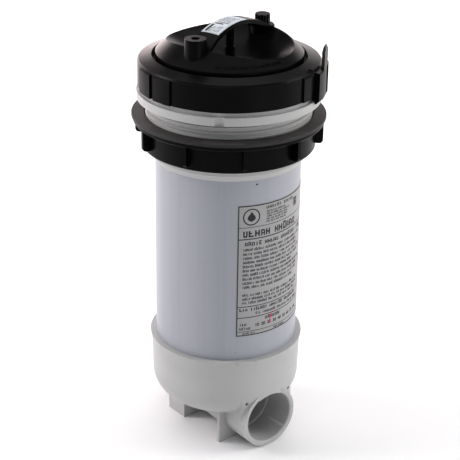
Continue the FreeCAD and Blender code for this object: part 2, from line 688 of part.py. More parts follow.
def lid():
    """The lid with its carrying handle, gauge port and air relief boss."""
    left, right = "-boss_offset", "boss_offset"
    bosses = [
        cone("gauge_mass", "gauge_boss_foot", "gauge_boss", "boss_low", "gauge_boss_top",
             x=left),
        cylinder("relief_mass", "relief_boss", "boss_low", "relief_boss_top - boss_round",
                 x=right),
        cone("relief_crown", "relief_boss", "relief_boss - boss_round",
             "relief_boss_top - boss_round", "relief_boss_top", x=right),
    ]
    tools = [
        cylinder("gauge_bore", "gauge_hole", "boss_low - 1", "gauge_boss_top + 1", x=left),
        cone("gauge_mouth", "gauge_hole", "gauge_hole + gauge_lead",
             "gauge_boss_top - gauge_lead", "gauge_boss_top", x=left),
        cylinder("relief_bore", "relief_hole", "boss_low - 1", "relief_boss_top", x=right),
        cylinder("relief_pit", "relief_well", "relief_well_low", "relief_boss_top + 1",
                 x=right),
        cylinder("relief_pocket", "knob_pocket", "relief_boss_top", "lid_top", x=right),
        tube("seal_groove", "groove_inner", "groove_outer", "lid_seat - 1", "groove_top"),
    ]
    whole = cut("lid_bored", fuse("lid_joined", lid_mass(), *handle(), *bosses), *tools)
    node(place(whole, turn="handle_angle"), "lid")


def lid_seal():
    """The lid's O-ring, pressed flat between the lid's groove and the collar."""
    bulge = "(seal_high - seal_low) * 0.55"
    node(turned("seal", [
        (f"seal_inner + {bulge}", "seal_low", bulge, -1),
        (f"seal_outer - {bulge}", "seal_low"),
        (f"seal_outer - {bulge}", "seal_high", bulge, -1),
        (f"seal_inner + {bulge}", "seal_high"),
    ]), "lid_oring")


def air_relief():
    """The air relief screw with its fluted knob, and its O-ring."""
    x, y = polar("boss_offset", "handle_angle")
    body = turned("relief_screw", [
        ("0", "screw_low"), ("screw_stem - 0.8", "screw_low"),
        ("screw_stem", "screw_low + 1"), ("screw_stem", "knob_low"),
        ("knob_radius - 0.6", "knob_low"), ("knob_radius", "knob_low + 0.6"),
        ("knob_radius", "knob_high - 0.8"), ("knob_radius - 0.8", "knob_high"),
        ("0", "knob_high"),
    ])
    doc.recompute()
    sketch = circle_sketch(body, "flute_circle", "XY_Plane", "knob_radius + 0.6", "0",
                           "flute_radius")
    flute = body.newObject("PartDesign::Pocket", "flute")
    flute.Profile = sketch
    flute.Type = "ThroughAll"
    flute.Midplane = True
    doc.recompute()
    ring = body.newObject("PartDesign::PolarPattern", "flutes")
    ring.Originals = [flute]
    ring.Axis = (sketch, ["N_Axis"])
    ring.Angle = 360
    bind(ring, {"Occurrences": "knob_flutes"})
    body.Tip = ring
    node(place(body, x, y), "air_relief_screw")
    wire = "(ring_seal_outer - ring_seal_inner) / 2"
    seal = doc.addObject("Part::Torus", "relief_seal")
    bind(seal, {"Radius1": f"ring_seal_inner + {wire}", "Radius2": wire})
    node(place(seal, x, y, "(ring_seal_low + ring_seal_high) / 2"), "air_relief_oring")


# ---- labels ----


def labels():
    """The instruction label round the tube, and the sticker on the handle."""
    inner = "tube_radius + label_gap"
    sheet = cylinder("label_sheet", f"{inner} + label_skin", "label_low", "label_high",
                     turn="label_start", sweep="label_sweep")
    bore = cylinder("label_bore", inner, "label_low - 1", "label_high + 1")
    node(cut("label_cut", sheet, bore), "body_label")
    low, high = "-label_gap", "-(label_gap + label_skin)"
    reach = "band_reach"
    skin = turned("sticker_skin", [
        ("0", f"lid_top - ({low})"),
        (reach, dome_height(reach, f"({low})"), f"dome_radius - ({low})", 1),
        (reach, dome_height(reach, f"({high})")),
        ("0", f"lid_top - ({high})", f"dome_radius - ({high})", -1),
    ])
    window = block("sticker_window", ("sticker_from", "sticker_to"),
                   ("-sticker_half", "sticker_half"), ("lid_seat", "lid_top + 9"))
    node(place(common("sticker", skin, window), turn="handle_angle"), "lid_label")


# ---- cartridge ----


def cartridge():
    """The pleated element: two end caps, a slotted core and the pleat pack."""
    low, thick = "cartridge_low", "cap_thick"
    top = f"{low} + cartridge_long"
    for label, foot in (("cartridge_bottom_cap", low), ("cartridge_top_cap", f"{top} - {thick}")):
        node(tube(label, "cap_eye", "cap_radius", foot, f"({foot}) + {thick}"), label)
    core_low, core_high = f"{low} + {thick} + 0.05", f"{top} - {thick} - 0.05"
    core = tube("core_tube", "core_inner", "core_outer", core_low, core_high)
    slots = doc.addObject("Part::Feature", "core_slots")
    slots.Shape = slot_pack(value(core_low), value(core_high))
    node(cut("core_slotted", core, slots), "cartridge_core")
    media = doc.addObject("Part::Feature", "media")
    media.Shape = pleat_pack(value(core_high) - value(core_low))
    node(place(media, z=core_low), "cartridge_media")


def slot_pack(low, high):
    """The boxes that cut the core's slots, in rows and columns."""
    rows, columns = int(value("core_rows")), int(value("core_columns"))
    long, wide = value("core_slot_long"), value("core_slot_wide")
    reach = value("core_outer") + 5
    step = (high - low) / rows
    boxes = []
    for row in range(rows):
        base = low + (row + 0.5) * step - long / 2
        for column in range(columns):
            box = Part.makeBox(reach, wide, long, FreeCAD.Vector(0, -wide / 2, base))
            box.rotate(FreeCAD.Vector(), FreeCAD.Vector(0, 0, 1), 360 * column / columns)
            boxes.append(box)
    core = Part.makeCylinder(value("core_inner") - 2, high, FreeCAD.Vector())
    return Part.makeCompound([box.cut(core) for box in boxes])


def pleat_pack(height):
    """The pleated sheet as a star-shaped ring, standing on Z = 0."""
    pleats = int(value("media_pleats"))
    points = []
    for index in range(2 * pleats):
        radius = value("media_outer") if index % 2 == 0 else value("media_valley")
        angle = math.pi * index / pleats
        points.append(FreeCAD.Vector(radius * math.cos(angle), radius * math.sin(angle), 0))
    star = Part.Face(Part.makePolygon(points + points[:1]))
    eye = Part.makeCylinder(value("media_inner"), height)
    return star.extrude(FreeCAD.Vector(0, 0, height)).cut(eye)


# ---- bypass valve ----


def bypass_valve():
    """The spring valve in the base floor that opens when the cartridge is blocked."""
    x, y = polar("valve_out", "valve_angle")
    seat = turned("valve_seat", [
        ("seat_bore", "seat_low"), ("cage_inner - 0.2", "seat_low"),
        ("cage_inner - 0.2", "cage_high + 0.05"), ("seat_outer", "cage_high + 0.05"),
        ("seat_outer", "floor_high"),
        ("seat_flange", "floor_high"), ("seat_flange", "seat_flange_top"),
        ("seat_bore + 1", "seat_flange_top"), ("seat_bore", "seat_flange_top - 1"),
    ])
    node(place(seat, x, y), "bypass_seat")
    cage = turned("valve_cage", [
        ("cage_eye", "cage_low"), ("cage_inner + 1.9", "cage_low"),
        ("cage_inner + 1.9", "cage_high - 3"), ("cage_outer", "cage_high - 3"),
        ("cage_outer", "cage_high"), ("cage_inner", "cage_high"),
        ("cage_inner", "cage_floor"), ("cage_eye", "cage_floor"),
    ])
    half, tall = "cage_window_half", ("cage_window_low", "cage_window_high")
    windows = [
        block("cage_window_x", ("-30", "30"), (f"-{half}", half), tall),
        block("cage_window_y", (f"-{half}", half), ("-30", "30"), tall),
    ]
    node(place(cut("cage_cut", cage, *windows), x, y), "bypass_cage")
    poppet = turned("valve_poppet", [
        ("0", "poppet_face"), ("poppet_cup", "poppet_face"), ("poppet_cup", "poppet_low"),
        ("poppet_radius", "poppet_low"), ("poppet_radius", "poppet_high - 0.8"),
        ("poppet_radius - 0.8", "poppet_high"), ("0", "poppet_high"),
    ])
    node(place(poppet, x, y), "bypass_poppet")
    spring = new_body("valve_spring")
    sketch = circle_sketch(spring, "wire_circle", "XZ_Plane", "spring_radius", "spring_low",
                           "wire_radius")
    coil = spring.newObject("PartDesign::AdditiveHelix", "coil")
    coil.Profile = sketch
    coil.ReferenceAxis = (sketch, ["V_Axis"])
    coil.Mode = 0
    bind(coil, {"Pitch": "spring_pitch", "Height": "spring_pitch * spring_turns"})
    node(place(spring, x, y), "bypass_spring")


# ---- build, check and export ----


def fault(obj):
    """What is wrong with an object, or None."""
    if "Invalid" in obj.State or "Error" in obj.State:
        return f"{obj.Label}: {obj.State}"
    return None


def node_fault(obj):
    """What is wrong with a sub-part's shape, or None."""
    shape = obj.Shape
    if shape.isNull() or not shape.Solids:
        return f"{obj.Label}: no solid"
    if not shape.isValid():
        return f"{obj.Label}: not valid"
    return None


def main():
    """Builds every sub-part, checks it and writes its STEP file."""
    for maker in (base_cap, filter_body, threaded_collar, mounting_nut, mounting_gasket,
                  lock_ring, lock_tab, lid, lid_seal, air_relief, labels, cartridge,
                  bypass_valve):
        maker()
        doc.recompute()
    faults = [fault(obj) for obj in doc.Objects] + [node_fault(obj) for obj in NODES]
    faults = [text for text in faults if text]
    if faults:
        raise RuntimeError("; ".join(faults))
    os.makedirs("parts", exist_ok=True)
    for obj in NODES:
        obj.Shape.exportStep(f"parts/{obj.Label}.step")
        box = obj.Shape.BoundBox
        print(f"{obj.Label}: {len(obj.Shape.Solids)} solid, {obj.Shape.Volume / 1000:.1f} cm3,"
              f" z {box.ZMin:.1f} to {box.ZMax:.1f}")


main()
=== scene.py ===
"""The looks of a top-load cartridge filter housing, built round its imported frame."""

import json
import logging
import math
import random
from dataclasses import dataclass, field
from enum import Enum
from typing import Any, Callable

import bmesh
import bpy
from mathutils import Matrix, Vector


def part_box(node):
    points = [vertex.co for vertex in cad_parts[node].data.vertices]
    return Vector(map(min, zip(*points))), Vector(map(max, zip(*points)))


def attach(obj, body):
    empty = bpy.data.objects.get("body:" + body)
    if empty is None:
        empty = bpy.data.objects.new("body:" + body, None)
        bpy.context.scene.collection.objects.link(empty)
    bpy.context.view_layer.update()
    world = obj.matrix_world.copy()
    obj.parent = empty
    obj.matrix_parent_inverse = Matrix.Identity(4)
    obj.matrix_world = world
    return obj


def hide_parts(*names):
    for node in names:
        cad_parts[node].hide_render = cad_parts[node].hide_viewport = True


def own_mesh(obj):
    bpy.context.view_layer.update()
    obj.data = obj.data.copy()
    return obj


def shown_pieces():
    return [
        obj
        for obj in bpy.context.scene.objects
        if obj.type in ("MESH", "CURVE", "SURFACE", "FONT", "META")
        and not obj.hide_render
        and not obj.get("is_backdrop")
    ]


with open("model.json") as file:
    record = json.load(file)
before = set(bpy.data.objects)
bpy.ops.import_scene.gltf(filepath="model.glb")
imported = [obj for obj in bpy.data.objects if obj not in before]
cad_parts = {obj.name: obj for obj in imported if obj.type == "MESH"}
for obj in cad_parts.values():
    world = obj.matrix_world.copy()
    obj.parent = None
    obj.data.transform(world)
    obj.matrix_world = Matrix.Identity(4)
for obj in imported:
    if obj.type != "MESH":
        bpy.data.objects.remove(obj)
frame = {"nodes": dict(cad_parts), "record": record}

LOG = logging.getLogger("filter_housing")
MM = 0.001
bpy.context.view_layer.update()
EDGE_LAYER = "rounded_edge"

Colour = tuple[float, float, float]


# ---------------------------------------------------------------- shader graph


class Wire:
    """A shader socket that Python arithmetic can be done on."""

    def __init__(self, graph: "Graph", socket: bpy.types.NodeSocket) -> None:
        """Keeps the graph and the output socket."""
        self.graph = graph
        self.socket = socket

    def __add__(self, other: "Wire | float") -> "Wire":
        """This value plus another."""
        return self.graph.math("ADD", self, other)

    def __sub__(self, other: "Wire | float") -> "Wire":
        """This value less another."""
        return self.graph.math("SUBTRACT", self, other)

    def __rsub__(self, other: float) -> "Wire":
        """A number less this value."""
        return self.graph.math("SUBTRACT", other, self)

    def __mul__(self, other: "Wire | float") -> "Wire":
        """This value times another."""
        return self.graph.math("MULTIPLY", self, other)

    __radd__ = __add__
    __rmul__ = __mul__


class Graph:
    """A material's node tree, filled through a few short calls."""

    def __init__(self, name: str) -> None:
        """Makes the material with an empty tree.

        Args:
            name: The material's name.
        """
        self.material = bpy.data.materials.new(name)
        self.material.use_nodes = True
        self.tree = self.material.node_tree
        self.tree.nodes.clear()

    def node(self, kind: str, settings: dict[str, Any] | None = None,
             sockets: dict[str | int, Any] | None = None, out: str | int = 0) -> "Wire | None":
        """Adds any node.

        Args:
            kind: The node's type.
            settings: Properties to set first; "stops" fills a colour ramp.
            sockets: A value or a Wire for each input, by name or index.
            out: The output to give back.

        Returns:
            The chosen output, or nothing for a node that has none.
        """
        made = self.tree.nodes.new(kind)
        for name, value in (settings or {}).items():
            if name == "stops":
                self._fill_ramp(made.color_ramp, value)
            else:
                setattr(made, name, value)
        for key, value in (sockets or {}).items():
            self._feed(made.inputs[key], value)
        return Wire(self, made.outputs[out]) if made.outputs else None

    @staticmethod
    def _fill_ramp(ramp: bpy.types.ColorRamp, stops: list[tuple[float, Colour]]) -> None:
        """Sets a colour ramp's stops.

        Args:
            ramp: The ramp.
            stops: A place and a colour for each stop, two or more.
        """
        while len(ramp.elements) < len(stops):
            ramp.elements.new(1.0)
        for element, (place, colour) in zip(ramp.elements, stops):
            element.position = place
            element.color = (*colour, 1.0)

    def _feed(self, target: bpy.types.NodeSocket, value: Any) -> None:
        """Links or sets one input.

        Args:
            target: The input.
            value: What goes in: a Wire, a number, a colour or a vector.
        """
        if isinstance(value, Wire):
            self.tree.links.new(value.socket, target)
        elif target.type == "RGBA" and len(value) == 3:
            target.default_value = (*value, 1.0)
        else:
            target.default_value = value

    def math(self, operation: str, *values: Wire | float) -> Wire:
        """A Math node on one to three values."""
        return self.node("ShaderNodeMath", {"operation": operation}, dict(enumerate(values)))

    def mix(self, factor: Wire | float, first: Wire | Colour, second: Wire | Colour) -> Wire:
        """A colour between two colours."""
        sockets = {0: factor, 6: first, 7: second}
        return self.node("ShaderNodeMix", {"data_type": "RGBA"}, sockets, 2)

    def place(self, scale: Colour = (1.0, 1.0, 1.0)) -> Wire:
        """The object's own coordinates, stretched by a factor on each axis."""
        spot = self.node("ShaderNodeTexCoord", out="Object")
        return self.node("ShaderNodeMapping", sockets={"Vector": spot, "Scale": scale})

    def noise(self, per_metre: float, detail: float = 2.0, rough: float = 0.5,
              stretch: Colour = (1.0, 1.0, 1.0)) -> Wire:
        """Smooth noise over the object's own coordinates.

        Args:
            per_metre: How many lumps there are to a metre.
            detail: How many finer layers are added.
            rough: How strong the finer layers are.
            stretch: A factor on each axis; a small one draws the lumps out along it.

        Returns:
            A value from 0 to 1.
        """
        sockets = {"Vector": self.place(stretch), "Scale": per_metre, "Detail": detail,
                   "Roughness": rough}
        return self.node("ShaderNodeTexNoise", sockets=sockets)

    def band(self, value: Wire, low: float, high: float) -> Wire:
        """A smooth step between two values.

        Args:
            value: The value to look at.
            low: Where the step starts.
            high: Where it ends.

        Returns:
            0 below the step, 1 above it and smooth between.
        """
        sockets = {"Value": value, "From Min": low, "From Max": high}
        settings = {"interpolation_type": "SMOOTHSTEP"}
        return self.node("ShaderNodeMapRange", settings, sockets)

    def facing_up(self) -> Wire:
        """How far the surface looks up, from -1 to 1."""
        normal = self.node("ShaderNodeNewGeometry", out="Normal")
        return self.node("ShaderNodeSeparateXYZ", sockets={0: normal}, out="Z")

    def bump(self, height: Wire, depth: float, strength: float = 1.0) -> Wire:
        """A normal bent by a height from 0 to 1 that stands for a depth in metres."""
        sockets = {"Height": height, "Distance": depth, "Strength": strength}
        return self.node("ShaderNodeBump", sockets=sockets, out="Normal")

    def surface(self, **sockets: Any) -> bpy.types.Material:
        """Ends the tree in one Principled shader.

        Args:
            **sockets: Its inputs, with underscores for the spaces in their names.

        Returns:
            The finished material.
        """
        named = {name.replace("_", " "): value for name, value in sockets.items()}
        shader = self.node("ShaderNodeBsdfPrincipled", sockets=named)
        self.node("ShaderNodeOutputMaterial", sockets={"Surface": shader})
        return self.material


# -------------------------------------------------------------------- finishes


@dataclass(frozen=True)
class MouldedPlastic:
    """Injection-moulded plastic: fine grain, soft mottling, dust, painted highlights on edges.
    """

    name: str
    colour: Colour
    film: Colour
    film_share: float
    gloss: float
    gloss_swing: float
    grain_per_metre: float = 2600.0
    grain_depth: float = 0.03 * MM
    shine: float = 0.5
    # The edge colour and its share give a painted highlight on the rounded convex edges.
    edge: Colour = (0.0, 0.0, 0.0)
    edge_highlight_share: float = 0.0

    def build(self) -> bpy.types.Material:
        """Makes the material.

        Returns:
            The finished material.
        """
        g = Graph(self.name)
        cloud = g.noise(22.0, 4.0, 0.6)
        speck = g.noise(900.0, 2.0, 0.6)
        flow = g.noise(9.0, 3.0, 0.55, (1.0, 1.0, 3.5))
        lying = g.band(g.facing_up(), 0.1, 0.95)
        film = (lying * 0.75 + 0.25) * g.band(cloud, 0.3, 0.75) * self.film_share
        tint = g.mix(film, self.colour, self.film)
        tint = g.mix(g.band(flow, 0.35, 0.7) * 0.22, tint, tuple(c * 0.82 for c in self.colour))
        tint = g.mix(g.band(speck, 0.66, 0.8) * 0.12, tint, self.film)
        # Painted highlight: rounded convex edges are lightened towards the edge colour, broken
        # by noise.
        if self.edge_highlight_share:
            corner = g.node("ShaderNodeAttribute", {"attribute_name": EDGE_LAYER}, out="Fac")
            edge_highlight_mask = corner * g.band(cloud + speck * 0.3, 0.4, 0.8) * self.edge_highlight_share
            tint = g.mix(edge_highlight_mask, tint, self.edge)
        scratch = g.band(g.noise(260.0, 3.0, 0.7, (1.0, 1.0, 0.06)), 0.62, 0.72)
        rough = self.gloss + (cloud - 0.5) * self.gloss_swing + scratch * 0.05
        grain = g.noise(self.grain_per_metre, 2.0, 0.5) + g.noise(70.0, 2.0, 0.5) * 0.8
        return g.surface(Base_Color=tint, Roughness=rough, Specular_IOR_Level=self.shine,
                         Normal=g.bump(grain, self.grain_depth))


@dataclass(frozen=True)
class ExtrudedTube:
    """Extruded white tube: drawn streaks along its length and a smooth skin."""

    name: str = "white_tube_finish"
    colour: Colour = (0.385, 0.395, 0.43)
    streak: Colour = (0.33, 0.345, 0.39)
    gloss: float = 0.34

    def build(self) -> bpy.types.Material:
        """Makes the material.

        Returns:
            The finished material.
        """
        g = Graph(self.name)
        draw = g.noise(160.0, 3.0, 0.6, (1.0, 1.0, 0.012))
        cloud = g.noise(12.0, 3.0, 0.5)
        speck = g.band(g.noise(420.0, 1.0, 0.5), 0.77, 0.8)
        tint = g.mix(g.band(draw, 0.35, 0.75) * 0.35, self.colour, self.streak)
        tint = g.mix(speck * 0.35, tint, (0.2, 0.19, 0.18))
        rough = self.gloss + (cloud - 0.5) * 0.12 + draw * 0.05
        wave = draw * 0.6 + g.noise(30.0, 2.0, 0.5) * 0.8
        return g.surface(Base_Color=tint, Roughness=rough, Specular_IOR_Level=0.35,
                         Normal=g.bump(wave, 0.00006))


@dataclass(frozen=True)
class PrintStock:
    """Printed vinyl: a flat skin with a faint tooth and slight yellowing."""

    name: str
    colour: Colour
    aged: Colour

    def build(self) -> bpy.types.Material:
        """Makes the material.

        Returns:
            The finished material.
        """
        g = Graph(self.name)
        cloud = g.band(g.noise(30.0, 4.0, 0.6), 0.3, 0.8)
        tint = g.mix(cloud * 0.3, self.colour, self.aged)
        tooth = g.noise(3200.0, 2.0, 0.5)
        rough = 0.42 + cloud * 0.1
        return g.surface(Base_Color=tint, Roughness=rough, Normal=g.bump(tooth, 0.00001))


@dataclass(frozen=True)
class PrintInk:
    """Screen-printed ink, broken a little by the tooth of what is under it."""

    name: str
    colour: Colour
    thin: Colour

    def build(self) -> bpy.types.Material:
        """Makes the material.

        Returns:
            The finished material.
        """
        g = Graph(self.name)
        wear = g.band(g.noise(1500.0, 3.0, 0.7), 0.5, 0.8)
        tint = g.mix(wear * 0.35, self.colour, self.thin)
        return g.surface(Base_Color=tint, Roughness=0.5 + wear * 0.15,
                         Normal=g.bump(wear, 0.00001))


@dataclass(frozen=True)
class SealRubber:
    """Moulded rubber: matt, with a bloom of dust on what lies flat."""

    name: str = "seal_rubber_finish"
    colour: Colour = (0.02, 0.019, 0.019)
    bloom: Colour = (0.095, 0.085, 0.08)

    def build(self) -> bpy.types.Material:
        """Makes the material.

        Returns:
            The finished material.
        """
        g = Graph(self.name)
        lying = g.band(g.facing_up(), 0.2, 0.95)
        cloud = g.noise(26.0, 4.0, 0.6)
        tint = g.mix(lying * g.band(cloud, 0.2, 0.8) * 0.75, self.colour, self.bloom)
        grain = g.noise(1800.0, 2.0, 0.6)
        return g.surface(Base_Color=tint, Roughness=0.5 + cloud * 0.2,
                         Normal=g.bump(grain, 0.00004))


@dataclass(frozen=True)
class DrawnSteel:
    """Drawn stainless wire and rod, with lines along its length."""

    name: str
    colour: Colour = (0.56, 0.56, 0.57)

    def build(self) -> bpy.types.Material:
        """Makes the material.

        Returns:
            The finished material.
        """
        g = Graph(self.name)
        lines = g.noise(1400.0, 2.0, 0.6, (1.0, 1.0, 0.1))
        tint = g.mix(lines * 0.4, self.colour, tuple(c * 0.7 for c in self.colour))
        return g.surface(Base_Color=tint, Metallic=1.0, Roughness=0.25 + lines * 0.2,
                         Normal=g.bump(lines, 0.00001))


@dataclass(frozen=True)
class SpunFabric:
    """Spun-bonded polyester: matted fibres in two crossing directions."""

    name: str = "filter_fabric_finish"
    colour: Colour = (0.82, 0.84, 0.86)
    shade: Colour = (0.62, 0.66, 0.71)

    def build(self) -> bpy.types.Material:
        """Makes the material.

        Returns:
            The finished material.
        """
        g = Graph(self.name)
        along = g.noise(2400.0, 3.0, 0.7, (1.0, 1.0, 0.08))
        across = g.noise(2400.0, 3.0, 0.7, (0.08, 0.08, 1.0))
        fibre = g.math("MAXIMUM", along, across)
        dimple = g.node("ShaderNodeTexVoronoi", sockets={"Vector": g.place(), "Scale": 420.0})
        tint = g.mix(g.band(fibre, 0.45, 0.75), self.shade, self.colour)
        height = fibre * 0.7 + dimple * 0.5
        return g.surface(Base_Color=tint, Roughness=0.86, Normal=g.bump(height, 0.0002))


@dataclass(frozen=True)
class CastUrethane:
    """Cast urethane end cap: tinted, slightly pocked, soft sheen."""

    name: str = "cap_urethane_finish"
    colour: Colour = (0.10, 0.22, 0.42)

    def build(self) -> bpy.types.Material:
        """Makes the material.

        Returns:
            The finished material.
        """
        g = Graph(self.name)
        cloud = g.noise(40.0, 4.0, 0.6)
        pock = g.band(g.noise(700.0, 1.0, 0.5), 0.7, 0.78)
        tint = g.mix(cloud * 0.5, self.colour, tuple(c * 1.35 for c in self.colour))
        return g.surface(Base_Color=tint, Roughness=0.45 + pock * 0.2,
                         Normal=g.bump(cloud - pock, 0.0001))


class Finish(Enum):
    """The finishes of the housing, each the maker of one material."""

    WHITE_ABS = MouldedPlastic("white_abs_finish", (0.462, 0.463, 0.46), (0.40, 0.39, 0.37),
                               film_share=0.25, gloss=0.4, gloss_swing=0.14,
                               grain_depth=0.02 * MM, shine=0.35)
    # Black plastic's edge colour is a painted highlight along its rounded convex edges.
    BLACK_ABS = MouldedPlastic("black_abs_finish", (0.0026, 0.0025, 0.003),
                               (0.018, 0.0155, 0.015), film_share=0.4, gloss=0.3,
                               gloss_swing=0.12, shine=0.1, edge=(0.24, 0.23, 0.235),
                               edge_highlight_share=0.95)
    VALVE = MouldedPlastic("valve_finish", (0.60, 0.60, 0.61), (0.5, 0.5, 0.5),
                           film_share=0.2, gloss=0.4, gloss_swing=0.1)
    CORE = MouldedPlastic("core_finish", (0.72, 0.73, 0.75), (0.6, 0.6, 0.6),
                          film_share=0.2, gloss=0.4, gloss_swing=0.1)
    TAB = MouldedPlastic("tab_finish", (0.026, 0.027, 0.023), (0.075, 0.075, 0.065),
                         film_share=0.4, gloss=0.42, gloss_swing=0.12, shine=0.25)
    TUBE = ExtrudedTube()
    LABEL = PrintStock("label_finish", (0.355, 0.355, 0.36), (0.33, 0.32, 0.305))
    STICKER = PrintStock("sticker_finish", (0.68, 0.72, 0.76), (0.6, 0.63, 0.66))
    INK = PrintInk("ink_finish", (0.012, 0.012, 0.014), (0.09, 0.09, 0.09))
    MARKER = PrintInk("marker_finish", (0.62, 0.03, 0.13), (0.72, 0.2, 0.3))
    RUBBER = SealRubber()
    CAP = CastUrethane()
    FABRIC = SpunFabric()
    PIN = DrawnSteel("pin_finish")
    SPRING = DrawnSteel("spring_finish", (0.6, 0.6, 0.62))

    def material(self) -> bpy.types.Material:
        """The finish's material, made once."""
        return bpy.data.materials.get(self.value.name) or self.value.build()


SLOT_FINISH = {
    "white_abs": Finish.WHITE_ABS, "white_tube": Finish.TUBE, "label_vinyl": Finish.LABEL,
    "black_abs": Finish.BLACK_ABS, "tab_nylon": Finish.TAB, "pin_steel": Finish.PIN,
    "seal_rubber": Finish.RUBBER, "cap_urethane": Finish.CAP, "core_plastic": Finish.CORE,
    "filter_fabric": Finish.FABRIC, "valve_plastic": Finish.VALVE,
    "spring_steel": Finish.SPRING,
}
NODE_SLOT = {row["node"]: row["material_slot"] for row in frame["record"]["subparts"]}
BODY_OF = {
    node: body
    for body, nodes in frame["record"]["behaviour"]["bodies"].items()
    for node in nodes
}


# --------------------------------------------------------------------- helpers


def add_piece(name: str, bm: bmesh.types.BMesh, finish: Finish, body: str,
              slot: str) -> bpy.types.Object:
    """Turns a bmesh into a finished piece.

    Args:
        name: The piece's name.
        bm: Its mesh, which is freed.
        finish: What it is made of.
        body: The body that it rides on.
        slot: The record's material slot; not used.

    Returns:
        The new object.
    """
    mesh = bpy.data.meshes.new(name)
    bm.to_mesh(mesh)
    bm.free()
    mesh.materials.append(finish.material())
    piece = bpy.data.objects.new(name, mesh)
    bpy.context.scene.collection.objects.link(piece)
    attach(piece, body)
    return piece


def smooth(piece: bpy.types.Object) -> None:
    """Shades a piece smooth, with flat faces kept flat by weighted normals.

    Args:
        piece: The piece.
    """
    piece.data.polygons.foreach_set("use_smooth", [True] * len(piece.data.polygons))
    weighted = piece.modifiers.new("flat_faces", "WEIGHTED_NORMAL")
    weighted.keep_sharp = True


@dataclass(frozen=True)
class Moulding:
    """A frame node with its corners rounded as a mould leaves them, in metres and degrees."""

    node: str
    corner: float
    hollow: float
    sharp_from: float = 28.0
    flat_below: float = 0.3
    merge: float = 0.002 * MM
    steps: int = 2

    def build(self) -> bpy.types.Object:
        """Copies the node, merges it, rounds its corners and stands in for it.

        Returns:
            The rounded piece, which replaces the node.
        """
        bm = bmesh.new()
        bm.from_mesh(frame["nodes"][self.node].data)
        bm.faces.layers.float.new(EDGE_LAYER)
        bmesh.ops.remove_doubles(bm, verts=bm.verts, dist=self.merge)
        bmesh.ops.dissolve_degenerate(bm, edges=bm.edges, dist=self.merge / 2)
        bmesh.ops.dissolve_limit(bm, angle_limit=math.radians(self.flat_below),
                                 verts=bm.verts, edges=bm.edges,
                                 use_dissolve_boundaries=False)
        self._round(bm, self.hollow, convex=False)
        self._round(bm, self.corner, convex=True)
        slot = NODE_SLOT[self.node]
        piece = add_piece(f"{self.node}_moulding", bm, SLOT_FINISH[slot],
                          BODY_OF[self.node], slot)
        smooth(piece)
        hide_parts(self.node)
        return piece

    def _round(self, bm: bmesh.types.BMesh, width: float, convex: bool) -> None:
        """Bevels the sharp edges of one kind and marks the faces that stand out.

        Args:
            bm: The mesh.
            width: How far from the edge the rounding starts; none is made at 0.
            convex: Whether to take the edges that stand out or those in a corner.
        """
        limit = math.radians(self.sharp_from)
        sharp = [e for e in bm.edges
                 if e.is_manifold and e.is_convex == convex and e.calc_face_angle() > limit]
        if width and sharp:
            made = bmesh.ops.bevel(bm, geom=sharp, offset=width, offset_type="OFFSET",
                                   affect="EDGES", segments=self.steps, profile=0.5,
                                   material=-1, clamp_overlap=True)
            layer = bm.faces.layers.float[EDGE_LAYER]
            for face in made["faces"]:
                face[layer] = float(convex)


# ----------------------------------------------------------------------- print


class Stroke(Enum):
    """The blocks that stand for characters, as (left, bottom, right, top) bars of a cell."""

    POST = ((0.3, 0.0, 0.66, 1.0),)
    FRAME = ((0.0, 0.0, 0.32, 1.0), (0.68, 0.0, 1.0, 1.0), (0.32, 0.0, 0.68, 0.22),
             (0.32, 0.78, 0.68, 1.0))
    STEP = ((0.0, 0.0, 0.32, 1.0), (0.32, 0.0, 1.0, 0.24), (0.32, 0.5, 0.7, 0.7))
    GATE = ((0.0, 0.0, 0.32, 1.0), (0.68, 0.0, 1.0, 0.9), (0.32, 0.78, 0.68, 1.0),
            (0.32, 0.3, 0.68, 0.48))
    TWIN = ((0.0, 0.0, 0.32, 1.0), (0.68, 0.0, 1.0, 1.0), (0.32, 0.38, 0.68, 0.62))
    COMB = ((0.0, 0.0, 0.32, 1.0), (0.32, 0.78, 1.0, 1.0), (0.32, 0.38, 0.85, 0.6),
            (0.32, 0.0, 1.0, 0.2))
    CUP = ((0.0, 0.1, 0.32, 1.0), (0.68, 0.1, 1.0, 1.0), (0.1, 0.0, 0.9, 0.24))


